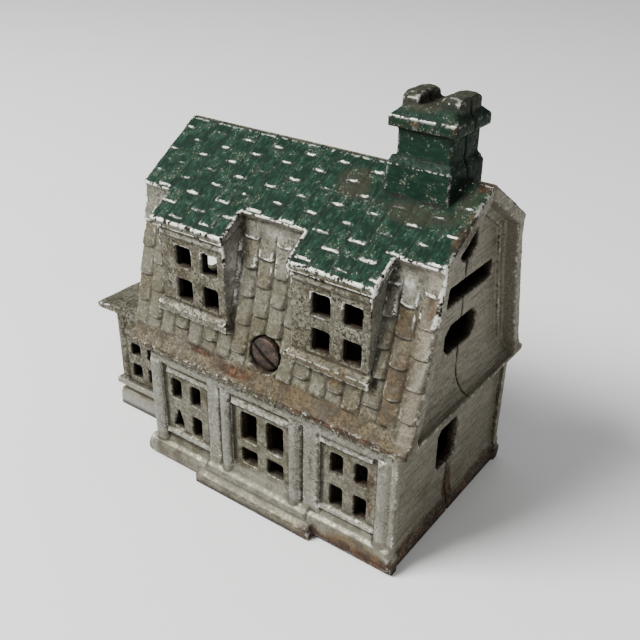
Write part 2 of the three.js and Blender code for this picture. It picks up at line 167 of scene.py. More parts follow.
class Solids:
    """Closed prisms in millimetres; depth is measured outward from the parting plane."""

    def __init__(self, side):
        self.side = side
        self.points = []
        self.faces = []

    def prism(self, outline, axis, start, end):
        """Pushes an outline, given in the other two axes, along axis from start to end."""
        count = len(outline)
        first = len(self.points)
        for place in (start, end):
            for a, b in outline:
                x, y, z = {"x": (place, a, b), "y": (a, place, b), "z": (a, b, place)}[axis]
                self.points.append((x, y * self.side, z))
        self.faces.append([first + i for i in range(count)])
        self.faces.append([first + count + i for i in reversed(range(count))])
        for i in range(count):
            j = (i + 1) % count
            self.faces.append([first + i, first + j, first + count + j, first + count + i])

    def along(self, face, outline, x0, x1):
        """A moulding along a wall, its outline in pairs of stand-out from the wall's face and z."""
        self.prism([(face + out, z) for out, z in outline], "x", x0, x1)

    def join(self, mesh):
        """Adds the prisms to a mesh in millimetres."""
        work = bmesh.new()
        work.from_mesh(mesh)
        made = [work.verts.new(p) for p in self.points]
        for face in self.faces:
            work.faces.new([made[i] for i in face])
        bmesh.ops.recalc_face_normals(work, faces=work.faces)
        work.to_mesh(mesh)
        work.free()


def half_round(middle, half_width, face, bulge):
    """Plan outline of a half-round column standing out from a wall."""
    steps = 10
    points = [(middle - half_width, face + ROOT)]
    for i in range(steps + 1):
        turn = math.pi * i / steps
        points.append((middle - half_width * math.cos(turn), face + bulge * math.sin(turn)))
    points.append((middle + half_width, face + ROOT))
    return points


def pane_corners(solids):
    """Fillets in the corners of every pane, through the wall."""
    steps, overlap = 5, 0.2
    for centre, (near, far), rows, face in WINDOWS:
        sides = [(near, 1), (far, -1), (-far, 1), (-near, -1)]
        levels = [(z, inward) for row in rows for z, inward in zip(row, (1, -1))]
        for (reach, inward_x), (z, inward_z) in product(sides, levels):
            x = centre + reach
            corner = [(x - overlap * inward_x, z - overlap * inward_z)]
            for i in range(steps + 1):
                turn = 0.5 * math.pi * i / steps
                corner.append((
                    x + inward_x * PANE_CORNER * (1 - math.cos(turn)),
                    z + inward_z * PANE_CORNER * (1 - math.sin(turn)),
                ))
            solids.prism(corner, "y", face - WALL + 0.3, face - 0.05)


def ground_floor(solids):
    """Columns, lintels, sills, plinth and base mouldings of the ground floor."""
    foot, head = 6.0, FRIEZE_Z + 0.4
    for middle, half_width, bulge in (
        (-33.0, 1.75, 0.75),
        (-10.3, 1.35, 0.85),
        (9.9, 1.3, 0.85),
        (33.3, 1.35, 0.7),
    ):
        solids.prism(half_round(middle, half_width, PILASTER_Y, bulge), "z", foot, head)
    for x0, x1, z in ((-29.6, -16.3, 27.9), (-8.3, 8.4, 27.5), (17.5, 30.6, 28.2)):
        lintel = [(ROOT, z + 1.1), (0.2, z + 1.1), (0.95, z + 0.1), (1.0, z - 0.5)]
        lintel += [(0.2, z - 0.9), (ROOT, z - 0.9)]
        solids.along(PANEL_Y, lintel, x0, x1)
    sill = [(ROOT, 10.2), (0.2, 10.2), (0.9, 9.5), (0.9, 8.9), (0.1, 8.5), (ROOT, 8.5)]
    for x0, x1 in ((-30.9, -16.2), (17.0, 31.9)):
        solids.along(PANEL_Y, sill, x0, x1)
    base, step = BASE_Y - PANEL_Y, STEP_Y - PANEL_Y
    for x0, x1, grown in ((-35.4, STEP_LEFT + 2.2, 0.0), (STEP_RIGHT - 1.6, END_RIGHT + 1.3, 0.9)):
        moulding = [(ROOT, 0.2), (ROOT, 7.2 + grown), (0.3, 7.0 + grown), (0.9, 5.9 + grown)]
        moulding += [(base - 0.75, 5.5 + grown), (base - 0.25, 5.0 + grown), (base - 0.02, 4.2 + grown)]
        moulding += [(base, 2.2), (base - 0.3, 0.9), (base - 0.7, 0.2)]
        solids.along(PANEL_Y, moulding, x0, x1)
    apron = [(ROOT, 10.0), (0.25, 9.8), (0.6, 8.4), (1.2, 6.9), (2.35, 5.6), (2.45, 4.5), (ROOT, 4.5)]
    solids.along(PANEL_Y, apron, STEP_LEFT + 2.6, STEP_RIGHT - 2.2)
    tread = [(ROOT, 4.6), (2.2, 4.6), (2.5, 3.9), (step - 0.3, 2.9), (step - 0.02, 2.4)]
    tread += [(step - 0.05, 1.4), (step - 0.5, 0.2), (ROOT, 0.2)]
    solids.along(PANEL_Y, tread, STEP_LEFT + 0.3, STEP_RIGHT - 0.3)


def dormer_trim(solids):
    """Sloping top on each dormer sill and a narrow moulding under each dormer roof."""
    slope = [(ROOT, 47.3), (0.25, 47.1), (1.1, 46.0), (1.15, 44.7), (0.6, 44.2), (-1.6, 44.0)]
    moulding = [(ROOT, 64.6), (0.25, 64.6), (0.4, 64.0), (0.2, 63.5), (ROOT, 63.5)]
    for x0, x1 in DORMER_FACES:
        solids.along(DORMER_Y, slope, x0 - 0.6, x1 + 0.6)
        solids.along(DORMER_Y, moulding, x0, x1)


def wing_trim(solids):
    """Corner strips, sill band and base swelling of the wing."""
    for middle in (WING_END + 1.3, END_LEFT - 2.6):
        solids.prism(half_round(middle, 1.2, WING_Y, 0.45), "z", 8.5, WING_EAVES_Z - 0.6)
    lintel = [(ROOT, 25.4), (0.2, 25.4), (0.7, 24.7), (0.2, 24.0), (ROOT, 24.0)]
    solids.along(WING_Y, lintel, WING_END + 3.0, END_LEFT - 4.0)
    base = [(ROOT, 5.2), (0.3, 5.1), (0.85, 4.2), (0.9, 1.5), (0.5, 0.3), (ROOT, 0.3)]
    solids.along(WING_Y, base, WING_END - 0.9, END_LEFT - 0.5)


def chimney_trim(solids):
    """Sloping top around the chimney's block, and loaf-shaped pots arched from front to back."""
    rise, run = 1.3, BLOCK_Y - SHAFT_Y
    slope = [(SHAFT_Y - 1, BLOCK_Z - 0.3), (BLOCK_Y - 0.02, BLOCK_Z - 0.3), (BLOCK_Y - 0.02, BLOCK_Z)]
    slope += [(SHAFT_Y + 0.2 * run, BLOCK_Z + rise), (SHAFT_Y - 1, BLOCK_Z + rise)]
    solids.prism(slope, "x", BLOCK_X[0] + 0.4, BLOCK_X[1] - 0.3)
    for edge, wall, inward in ((BLOCK_X[0], SHAFT_X[0], 1), (BLOCK_X[1], SHAFT_X[1], -1)):
        face = edge + 0.02 * inward
        side = [(wall + inward, BLOCK_Z - 0.3), (face, BLOCK_Z - 0.3), (face, BLOCK_Z)]
        side += [(wall - 0.2 * inward, BLOCK_Z + 0.8 * rise), (wall + inward, BLOCK_Z + 0.8 * rise)]
        solids.prism(side, "y", 0.4, BLOCK_Y - 0.6)
    for x0, x1 in POTS_X:
        loaf = [(0.25, 95.0), (4.55, 95.0), (4.6, 97.9), (4.45, 98.3)]
        loaf += [(3.9, 98.75), (3.0, 99.05), (1.8, 99.18), (0.25, 99.18)]
        solids.prism(loaf, "x", x0, x1)


def nearly_closed_pane(solids):
    """The left window's lower left pane, half filled with iron: a three-cornered hole is left."""
    centre, (near, far), rows, face = WINDOWS[0]
    overlap, above = 0.2, 1.6
    x0, x1 = centre - far - overlap, centre - near + overlap
    z0, z1 = rows[0][0] - overlap, rows[0][1] + above
    apex = (centre - 3.1, 17.6)
    left, right = (centre - 5.15, 10.9), (centre - 1.2, 10.7)
    depth = (face - 1.7, face - 0.1)
    for outline in (
        [(x0, z1), (x0, z0), (left[0], z0), left, apex, (apex[0], z1)],
        [(x1, z0), (x1, z1), (apex[0], z1), apex, right, (right[0], z0)],
        [(left[0], z0), (right[0], z0), right, left],
    ):
        solids.prism(outline, "y", *depth)


# ---- Cast shingles ----

def tabs(across, down, first, length, height, arc):
    """Relief, worn lips with a painted highlight, undercut lines with painted shade, and own tone of
    staggered round-ended tongues.
    """
    column = np.floor((across - TAB_EDGE) / TAB_WIDTH)
    from_middle = ((across - TAB_EDGE) / TAB_WIDTH - column) * 2.0 - 1.0
    stagger = np.where(column % 2 == 0, 0.0, 0.5)
    rounding = arc * (1.0 - np.cbrt(np.clip(1.0 - np.abs(0.95 * from_middle) ** 3, 0.0, 1.0)))
    nearest = np.round((down - first) / length + stagger)
    shift = 0.5 * (lattice(np.stack([column, nearest], axis=-1), 5) - 0.5)
    along = (down - first + rounding + shift) / length + stagger
    row = np.floor(along)
    part = along - row
    own = lattice(np.stack([column, row], axis=-1), 11)
    tone = lattice(np.stack([column, row], axis=-1), 23)
    rise = (0.12 + 0.88 * part ** 1.2) * smooth_step(1.0, 0.962, part)
    crown = 1.0 - 0.42 * np.abs(from_middle + 0.3 * (tone - 0.5)) ** 2.6
    side_groove = smooth_step(0.74, 0.96, np.abs(from_middle)) * smooth_step(0.02, 0.4, part)
    relief = height * (rise * crown * (0.75 + 0.5 * own) - 0.35 * side_groove)
    bow = 0.03 * from_middle ** 2 * (1 + 2 * tone)
    # The lip: a bright band near each tongue's lower end, worn paint and a painted highlight.
    lip = band(0.905, 0.955, part + bow, 0.018) * smooth_step(0.5 + 0.35 * own, 0.3, np.abs(from_middle))
    # Dark lines where each tongue starts under the one above, and in the side grooves: painted shade in the
    # undercuts.
    gap = band(0.0, 0.02, part, 0.035) * smooth_step(0.97, 0.8, np.abs(from_middle))
    return relief, lip * (0.45 + 0.55 * own), np.maximum(gap, 0.55 * side_groove), tone


def slope_depth(z):
    """How far the steep slope's face stands from the parting plane at height z."""
    heights, depths = zip(*STEEP_SLOPE)
    return np.interp(z, heights, depths)


def points_of(mesh):
    """The mesh's points as rows of x, y, z."""
    flat = np.empty(len(mesh.vertices) * 3)
    mesh.vertices.foreach_get("co", flat)
    return flat.reshape(-1, 3)


class Surface:
    """A casting's remade surface: points in millimetres, its edges, and fields of what it is there."""

    def __init__(self, mesh, side):
        self.mesh = mesh
        self.side = side
        self.points = points_of(mesh)
        ends = np.empty(len(mesh.edges) * 2, dtype=np.int64)
        mesh.edges.foreach_get("vertices", ends)
        self.edges = ends.reshape(-1, 2)
        self.degree = np.maximum(np.bincount(ends, minlength=len(self.points)), 1)
        self.fields = {}

    def averaged(self, values):
        """Mean of the neighbouring points' values."""
        values = values.reshape(len(values), -1)
        columns = []
        for i in range(values.shape[1]):
            near = np.bincount(self.edges[:, 0], values[self.edges[:, 1], i], len(values))
            near += np.bincount(self.edges[:, 1], values[self.edges[:, 0], i], len(values))
            columns.append(near / self.degree)
        return np.stack(columns, axis=1).squeeze()

    def smooth(self, rounds):
        """Softens edges without shrinking the casting."""
        for _ in range(rounds):
            for weight in (0.6, -0.62):
                self.points += weight * (self.averaged(self.points) - self.points)

    def soften(self, where, rounds):
        """Rounds the edges off where the mask is 1."""
        for _ in range(rounds):
            self.points += (0.5 * where)[:, None] * (self.averaged(self.points) - self.points)

    def store(self):
        """Writes the points back to the mesh."""
        self.mesh.vertices.foreach_set("co", self.points.ravel())
        self.mesh.update()

    def normals(self):
        """The surface's direction at each point."""
        self.store()
        found = np.empty(len(self.points) * 3, dtype=np.float32)
        self.mesh.vertex_normals.foreach_get("vector", found)
        return found.reshape(-1, 3).astype(float)

    def bulge(self, rounds):
        """How far each point stands out from its smoothed surroundings."""
        softened = self.points.copy()
        for _ in range(rounds):
            softened = self.averaged(softened)
        return ((self.points - softened) * self.normals()).sum(1)


def green_slope(points, normals):
    """1 on the upper slopes and the dormers' roofs, the distance down from the ridge, the normal."""
    run, drop = BREAK_Y, RIDGE_Z - BREAK_Z
    length = math.hypot(run, drop)
    depth = np.abs(points[:, 1])
    lift = (depth * drop + (points[:, 2] - RIDGE_Z) * run) / length
    down = (depth * run - (points[:, 2] - RIDGE_Z) * drop) / length
    facing = (np.sign(points[:, 1]) * normals[:, 1] * drop + normals[:, 2] * run) / length
    on_it = smooth_step(0.9, 0.45, np.abs(lift)) * smooth_step(0.35, 0.7, facing)
    return on_it, down, np.array([0.0, drop / length, run / length])


def relief(surface):
    """Pushes the shingles, the grooves and the open seam into the surface, and notes where they are."""
    points, side = surface.points, surface.side
    normals = surface.normals()
    x, depth, z = points[:, 0], points[:, 1] * side, points[:, 2]

    on_roof, down, roof_normal = green_slope(points, normals)
    height, lip, gap, tone = tabs(x, down, **ROOF_TABS)
    roof_move = on_roof * smooth_step(0.3, 1.2, down)
    points += (roof_move * height)[:, None] * roof_normal * (1, side, 1)

    on_steep = smooth_step(1.0, 0.5, np.abs(depth - slope_depth(z)))
    on_steep *= smooth_step(0.3, 0.65, normals[:, 1] * side)
    on_steep *= smooth_step(37.4, 38.6, z) * smooth_step(70.8, 60.5, z + 0.8 * noise(points, 4.0, 91))
    steep_height, steep_lip, steep_gap_shade, steep_tone = tabs(x, BREAK_Z - z, **STEEP_TABS)
    points[:, 1] += side * on_steep * steep_height

    on_front = smooth_step(0.5, 0.8, normals[:, 1] * side) * smooth_step(24.8, 25.1, depth)
    for middle, foot, width, cut in GROOVES:
        groove = band(foot, GROOVE_HEAD_Z, z, 0.5) * smooth_step(width, 0.1 * width, np.abs(x - middle))
        points[:, 1] -= side * on_front * groove * cut

    ragged = 0.42 + 0.3 * noise(points, 2.3, 83) + 0.14 * noise(points, 0.8, 87)
    seam = smooth_step(ragged, 0.4 * ragged, depth)
    points[:, 0] -= 0.8 * seam * smooth_step(33.5, 34.5, x) * smooth_step(0.6, 0.8, normals[:, 0])

    surface.fields["seam"] = seam
    surface.fields["lip"] = np.maximum(roof_move * lip, 0.4 * on_steep * steep_lip)
    surface.fields["gap"] = np.maximum(0.5 * roof_move * gap, on_steep * steep_gap_shade)
    surface.fields["roof"] = on_roof * (down > -0.5)
    surface.fields["down"] = down
    surface.fields["tone"] = np.where(on_steep > 0.3, steep_tone, np.where(roof_move > 0.3, tone, 0.5))
    surface.fields["steep"] = on_steep


def cast_skin(surface):
    """Unevenness of sand-cast iron, kept off the parting face, the foot and the screw's hole."""
    points = surface.points
    normals = surface.normals()
    free = smooth_step(0.8, 2.0, np.abs(points[:, 1])) * smooth_step(0.1, 0.9, points[:, 2])
    from_screw = np.hypot(points[:, 0] - SCREW_X, points[:, 2] - SCREW_Z)
    free *= smooth_step(4.6, 5.4, from_screw)
    uneven = 0.09 * layered_noise(points, 6.5, 31) + 0.035 * noise(points, 1.3, 47)
    uneven += (0.02 + 0.035 * surface.fields["steep"]) * noise(points, 0.75, 53)
    uneven += 0.09 * (surface.fields["exposed"] > 0.5) * noise(points, 1.5, 59)
    points += (free * uneven)[:, None] * normals


def house_shell_depth(points):
    """How far a point lies inside the house's outer faces, in millimetres."""
    x, depth, z = points[:, 0], np.abs(points[:, 1]), points[:, 2]
    wall = np.where(z > CORNICE_Z, slope_depth(z), PANEL_Y)
    run, drop = BREAK_Y, RIDGE_Z - BREAK_Z
    below_roof = -(depth * drop + (z - RIDGE_Z) * run) / math.hypot(run, drop)
    main = np.minimum.reduce([x - END_LEFT, END_RIGHT - x, z, wall - depth, below_roof])
    wing_top = WING_EAVES_Z + 1.0 - z
    wing = np.minimum.reduce([x - WING_END, END_LEFT + 4.0 - x, z, WING_Y - depth, wing_top])
    shells = [main, wing]
    for x0, x1 in DORMER_FACES:
        shells.append(np.minimum.reduce([x - x0, x1 - x, z - DORMER_FOOT_Z, DORMER_Y - depth, below_roof]))
    return np.maximum.reduce(shells)


def patches(points, spots, size, seed):
    """Strength of soft round patches, broken up by noise."""
    total = np.zeros(len(points))
    for *centre, rx, ry, rz, strength in spots:
        distance = np.sqrt((((points - centre) / (rx, ry, rz)) ** 2).sum(1))
        total = np.maximum(total, strength * smooth_step(1.15, 0.45, distance))
    broken = smooth_step(-0.55, 0.45, layered_noise(points, size, seed) + 1.6 * total - 0.95)
    return np.clip(total * 1.1, 0, 1) * broken


# Patches: centre x, y, z (the front is at negative y), radii along x, y, z, strength.
RUST_SPOTS = [
    (-17.0, -26.5, 37.2, 7.0, 3.0, 1.4, 1.0),
    (-7.0, -26.5, 36.0, 7.0, 3.0, 1.4, 0.9),
    (-1.5, -24.6, 37.4, 3.2, 3.0, 1.8, 0.6),
    (-0.5, -24.0, 39.2, 5.0, 3.4, 2.6, 0.65),
    (34.0, -22.0, 48.0, 4.0, 6.0, 10.0, 0.5),
    (37.4, -18.5, 64.0, 1.8, 6.0, 5.0, 0.8),
    (29.9, -25.4, 19.0, 1.4, 1.5, 8.5, 0.8),
    (14.6, -26.0, 19.0, 0.9, 1.6, 9.0, 0.75),
    (28.0, -27.3, 0.8, 17.0, 3.0, 4.0, 1.0),
    (36.0, -6.0, 0.4, 5.0, 26.0, 3.8, 1.0),
    (35.5, 0.6, 6.0, 5.0, 3.2, 10.0, 1.0),
    (20.0, -27.2, 34.0, 22.0, 2.0, 1.0, 0.85),
    (38.4, -10.0, 76.0, 1.5, 9.0, 5.0, 0.75),
    (37.5, -1.0, 82.5, 2.0, 2.5, 1.8, 0.9),
    (33.0, -7.0, 94.5, 1.3, 1.2, 1.2, 0.8),
    (24.5, -7.2, 93.8, 1.4, 1.2, 0.9, 0.6),
    (16.0, -25.2, 45.6, 13.0, 2.0, 1.2, 0.55),
    (-24.0, 26.0, 36.8, 15.0, 3.0, 1.9, 0.8),
    (20.0, 26.0, 36.8, 9.0, 3.0, 1.6, 0.7),
    (0.0, 27.5, 1.0, 34.0, 2.0, 2.4, 0.7),
    (-58.9, 0.0, 1.0, 3.0, 14.0, 2.4, 0.6),
]
# Bright spots on the steep slope and on the dormers' side fillets: polished metal, and partly painted
# highlights.
POLISHED_AND_HIGHLIGHT_SPOTS = [
    (31.6, -19.5, 66.5, 2.6, 5.0, 3.6, 0.6),
    (-9.8, -20.5, 58.0, 1.4, 5.0, 12.0, 0.9),
    (28.3, -20.5, 56.0, 1.4, 5.0, 12.0, 0.6),
    (0.0, -19.0, 69.0, 6.0, 4.0, 3.0, 0.55),
]
THIN_SPOTS = [
    (11.0, -7.0, 79.5, 6.5, 7.0, 5.0, 0.85),
    (27.0, -10.0, 77.5, 15.0, 4.0, 3.0, 0.75),
    (36.5, -5.0, 80.0, 3.5, 8.0, 5.0, 0.7),
    (34.0, -14.5, 73.5, 5.0, 4.0, 3.0, 0.5),
    (26.0, 0.0, 98.0, 12.0, 12.0, 3.6, 1.0),
    (33.5, 0.0, 88.0, 1.6, 9.0, 12.0, 0.6),
    (-20.0, 9.0, 78.0, 14.0, 8.0, 5.0, 0.7),
]
STAINS = [
    (6.0, -26.0, 36.2, 34.0, 4.0, 3.6, 0.95),
    (26.0, -24.5, 41.5, 14.0, 5.0, 6.0, 0.8),
    (33.0, -22.0, 54.0, 6.0, 6.0, 15.0, 0.95),
    (17.0, -25.0, 46.0, 14.0, 2.5, 3.0, 0.7),
    (-2.0, -24.0, 42.0, 6.0, 4.0, 5.0, 0.7),
    (27.0, -27.0, 2.6, 13.0, 4.0, 4.6, 1.0),
    (35.3, -14.0, 16.0, 3.0, 12.0, 12.0, 0.45),
    (36.6, -18.0, 62.0, 3.0, 5.0, 6.0, 0.9),
    (35.3, 0.0, 6.0, 3.0, 22.0, 7.0, 0.6),
    (0.0, 26.0, 36.2, 34.0, 4.0, 3.2, 0.9),
    (20.0, 24.0, 45.0, 20.0, 4.0, 9.0, 0.6),
]


def exposed_edges(surface):
    """How much the edges are rubbed at each point, and how bright the rubbing has left them."""
    points = surface.points
    x, depth, z = points[:, 0], np.abs(points[:, 1]), points[:, 2]
    zones = (
        (0.55, 0.02, (depth > 27.1) & (z > 32.6) & (z < 34.6)),  # lip over the ground floor
        (0.25, 0.15, (depth > 26.9) & (z < 6.5)),                # base and step
        (0.80, 0.60, (depth > 24.4) & (z > 43.8) & (z < 46.8)),  # dormer sills
        (1.00, 0.66, (z > 60.0) & (z < 72.6) & (depth > 17.0)),  # lower edges of the roof
        (0.85, 0.35, (depth < 1.6) & (z > 81.5) & (z < 84.2)),   # ridge
        (0.35, 0.35, (z > 97.6) & (depth > 3.6)),                # chimney pots
        (0.30, 0.15, (x > 38.3) | ((x < -39.3) & (x > -42.0))),  # the roof's ends
        (0.60, 0.40, (x < -57.0) & (z > 29.0)),                  # end of the wing's roof
        (0.40, 0.30, (x < WING_END - 0.5) & (z < 10.0)),         # end of the wing's base
        (0.50, 0.50, (depth > 25.5) & (z > 8.0) & (z < 11.0)),   # ground-floor sills
        (0.40, 0.60, (depth > 25.5) & (z > 26.5) & (z < 29.5)),  # lintels
    )
    exposed, shine = np.full(len(points), 0.2), np.full(len(points), 0.15)
    for strength, bright, there in zones:
        exposed = np.where(there, np.maximum(exposed, strength), exposed)
        shine = np.where(there, np.maximum(shine, bright), shine)
    surface.fields["exposed"], surface.fields["shine"] = exposed, shine


def clean_paint_and_painted_light(points, normals):
    """Where the aluminium paint is paler: mouldings, columns, sills, the base; on the dormers' sides it is
    painted light, and under the roof's lower edges and on the wing it is partly a painted highlight.
    """
    x, depth, z = points[:, 0], np.abs(points[:, 1]), points[:, 2]
    mouldings = smooth_step(PANEL_Y + 0.35, PANEL_Y + 0.9, depth) * (z < 31.0)
    base = smooth_step(PANEL_Y + 0.2, PANEL_Y + 0.8, depth) * (z < 10.5)
    sills = (depth > 24.3) * band(43.9, 47.2, z, 0.3)
    # A paler band under the roof's lower edges: worn paint, and partly a painted highlight.
    under_roof = band(63.0, 70.0, z, 3.0) * (np.abs(depth - slope_depth(z)) < 1.2) * (np.abs(x) > 28.4)
    between_dormers = band(62.0, 71.0, z, 3.0) * (np.abs(depth - slope_depth(z)) < 1.2) * (np.abs(x) < 7.5)
    sideways = smooth_step(0.6, 0.9, np.abs(normals[:, 0]))
    # The dormers' sides face away from the light; painting them paler is painted light.
    dormer_sides = band(47.0, 69.0, z, 1.0) * sideways * (depth > 17.0) * (x < 34.0)
    # The wing's mouldings are paler, partly as a painted highlight.
    wing = smooth_step(WING_Y + 0.3, WING_Y + 0.8, depth) * (x < END_LEFT) * (z < 28.0)
    light = [mouldings * (z > 8.0), 0.2 * base, 0.3 * sills, 0.5 * under_roof, 0.45 * between_dormers]
    return np.maximum.reduce(light + [dormer_sides, wing])


def even_paint(x, depth, z):
    """Where the paint is even, with few pits: on the base most, then on the panels."""
    base = smooth_step(PANEL_Y + 0.1, PANEL_Y + 0.4, depth) * smooth_step(11.0, 9.0, z)
    wing_base = (depth > 14.0) * (x < END_LEFT - 1.0) * (z < 9.0)
    on_panel = np.where(depth < PANEL_Y + 0.4, 0.55, 0.15)
    return np.maximum.reduce([base, wing_base, on_panel * (depth > PANEL_Y - 0.4) * (z < FRIEZE_Z)])


def edge_fields(surface, at_end):
    """Rubbed edges, painted highlight lines along the chimney's edges, a bright line below the ridge, the
    brown beside them.
    """
    fields, on_roof = surface.fields, surface.fields["roof"]
    depth, z = np.abs(surface.points[:, 1]), surface.points[:, 2]
    in_chimney = fields["courses"]
    away_from_seam = smooth_step(0.6, 1.3, depth)
    fields["wear_and_highlight_lines"] = smooth_step(0.02, 0.065, fields["fine_bulge"]) * fields["exposed"] * away_from_seam
    # Thin bright lines along the edges of the chimney's cap, block and pots: painted highlights.
    for line, sharp, bright in (
        (band(94.75, 94.9, z, 0.14) * smooth_step(6.3, 6.8, depth) * in_chimney, 0.95, 0.75),  # cap
        (band(85.3, 85.45, z, 0.12) * smooth_step(6.5, 6.85, depth) * in_chimney, 0.55, 0.5),  # block
        (band(98.05, 98.15, z, 0.1) * smooth_step(4.1, 4.5, depth) * in_chimney, 0.6, 0.3),  # pots
        (band(1.0, 1.1, fields["down"], 0.16) * on_roof * (1 - in_chimney), 0.6, 0.4),  # below the ridge
    ):
        fields["wear_and_highlight_lines"] = np.maximum(fields["wear_and_highlight_lines"], sharp * line)
        fields["shine"] = np.where(line > 0.1, bright, fields["shine"])
    halo = smooth_step(0.04, 0.22, fields["broad_bulge"]) * np.maximum(fields["exposed"], 0.35)
    halo *= away_from_seam * (1 - 0.7 * fields["clean_and_painted_light"]) * (1 - 0.85 * at_end)
    ridge = band(-0.6, 0.6, fields["down"], 0.3) * on_roof
    dark_lip = band(32.7, 34.3, z, 0.3) * smooth_step(26.9, 27.4, depth)
    fields["halo"] = np.maximum.reduce([halo, ridge, dark_lip])


def grime_shadow_and_rust_fields(surface, at_end):
    """Dirt in the hollows, the seam, a painted contact shadow along the ground line, rust and brown stains.
    """
    points, fields = surface.points, surface.fields
    x, depth, z = points[:, 0], np.abs(points[:, 1]), points[:, 2]
    crevices = smooth_step(-0.01, -0.05, fields["fine_bulge"])
    hollows = smooth_step(-0.05, -0.25, fields["broad_bulge"])
    fields["dirt"] = np.clip(crevices + hollows, 0, 1) * (1 - 0.75 * at_end)
    seam = fields["seam"] * np.where(z > 79.0, 0.5, 1.0)
    # The dark line along the ground, below 1.7 mm, is a painted contact shadow.
    fields["gap"] = np.maximum.reduce([fields["gap"], seam, smooth_step(1.7, 0.9, z)])
    uneven = noise(points, 4.0, 73)
    foot_rust = smooth_step(4.2, 2.6, z + 1.3 * uneven - 0.5 * (depth < 24.0)) * smooth_step(9.0, 18.0, x)
    fields["rust"] = np.maximum(patches(points, RUST_SPOTS, 3.4, 71), 0.9 * foot_rust)
    along_eaves = layered_noise(points * (0.22, 1.0, 1.0), 2.2, 89)
    eaves = band(34.3, 37.2, z + 0.8 * uneven, 0.8) * (depth > 23.5) * (0.7 + 0.5 * along_eaves)
    foot = smooth_step(4.6, 2.6, z + 0.8 * uneven) * (depth > 23.5) * (0.35 + 0.5 * (x > 16.0))
    fields["stain"] = np.maximum.reduce([patches(points, STAINS, 6.0, 77), 0.95 * eaves, foot])


def paint_fields(surface):
    """What the paint looks like at each point: green, worn, dirty, rusty, bare inside, with painted shade and
    painted light in places.
    """
    points, fields = surface.points, surface.fields
    x, depth, z = points[:, 0], np.abs(points[:, 1]), points[:, 2]
    normals = surface.normals()
    sideways = smooth_step(0.3, 0.7, np.abs(normals[:, 0]))
    left_end = smooth_step(-33.0, -34.0, x) * (z > CORNICE_Z)
    wing_end = smooth_step(WING_END + 0.8, WING_END, x)
    at_end = np.maximum.reduce([smooth_step(33.0, 34.0, x), left_end, wing_end])
    within = house_shell_depth(points)
    # Bare iron inside; the side reveals of the openings go dark from a shallower depth, which is painted
    # shade.
    fields["inside"] = np.maximum(smooth_step(0.6, 1.4, within), smooth_step(0.35, 0.7, within) * sideways)
    in_chimney = band(CHIMNEY_X[0] - 0.3, CHIMNEY_X[1] + 0.3, x, 0.2) * (depth < CHIMNEY_Y + 0.3) * (z > 78.5)
    chimney = in_chimney * smooth_step(79.3, 80.2, z + 0.45 * depth)
    green = np.maximum(fields["roof"] * (1 - in_chimney), chimney)
    fields["green"] = green * (1 - fields["inside"])
    fields["thin"] = patches(points, THIN_SPOTS, 5.0, 79)
    fields["courses"] = in_chimney
    fields["clean_and_painted_light"] = clean_paint_and_painted_light(points, normals)
    fields["polished_and_highlight"] = patches(points, POLISHED_AND_HIGHLIGHT_SPOTS, 4.0, 81) * (1 - green)
    # The end walls and the right-hand rim get a paler, file-scored iron colour; the paleness is partly
    # painted light, standing in for light on the shaded right end and its rim.
    painted_light_rim = smooth_step(35.5, 36.2, x) * (z > 31.0) * (1 - fields["roof"])
    fields["filed"] = np.maximum(sideways * at_end, painted_light_rim)
    fields["even"] = even_paint(x, depth, z)
    edge_fields(surface, at_end)
    grime_shadow_and_rust_fields(surface, at_end)


# ---- Pieces ----

FIELDS = (
    "green", "thin", "courses", "polished_and_highlight", "wear_and_highlight_lines", "shine", "halo", "clean_and_painted_light", "dirt", "rust",
    "stain", "inside", "lip", "gap", "steep", "tone", "filed", "even",
)


def write_fields(surface):
    """Stores the fields on the mesh, for the materials."""
    for name in FIELDS:
        layer = surface.mesh.attributes.new(name, "FLOAT", "POINT")
        layer.data.foreach_set("value", surface.fields[name].astype(np.float32))


def placed(name, data):
    """A new object in the scene."""
    made = bpy.data.objects.new(name, data)
    bpy.context.scene.collection.objects.link(made)
    return made


def modified(mesh, kind, **settings):
    """The mesh that one modifier makes of this one."""
    holder = placed("holder", mesh)
    modifier = holder.modifiers.new("step", kind)
    for key, value in settings.items():
        setattr(modifier, key, value)
    graph = bpy.context.evaluated_depsgraph_get()
    shown = holder.evaluated_get(graph)
    result = bpy.data.meshes.new_from_object(shown, preserve_all_data_layers=True, depsgraph=graph)
    bpy.data.objects.remove(holder)
    return result


def make_casting(node, side, name):
    """A casting's visual piece: the CAD solid with its relief, remade, weathered and thinned."""
    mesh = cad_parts[node].data.copy()
    mesh.materials.clear()
    mesh.vertices.foreach_set("co", (points_of(mesh) / MM - (DOOR_X, 0, 0)).ravel())
    solids = Solids(side)
    pane_corners(solids)
    ground_floor(solids)
    dormer_trim(solids)
    wing_trim(solids)
    chimney_trim(solids)
    if side < 0:
        nearly_closed_pane(solids)
    solids.join(mesh)
    surface = Surface(modified(mesh, "REMESH", mode="VOXEL", voxel_size=VOXEL), side)
    surface.smooth(2)
    lowest, highest = surface.points.min(0), surface.points.max(0)
    on_chimney = smooth_step(84.0, 85.0, surface.points[:, 2])
    surface.soften(on_chimney, 2)
    exposed_edges(surface)
    relief(surface)
    surface.fields["fine_bulge"], surface.fields["broad_bulge"] = surface.bulge(3), surface.bulge(14)
    cast_skin(surface)
    surface.smooth(1)
    surface.points = np.clip(surface.points, lowest, highest)
    paint_fields(surface)
    write_fields(surface)
    surface.points = (surface.points + (DOOR_X, 0, 0)) * MM
    surface.store()
    thinned = modified(surface.mesh, "DECIMATE", ratio=KEPT_FACES)
    thinned.name = name
    return placed(name, thinned)


# ---- Screw, in millimetres ----

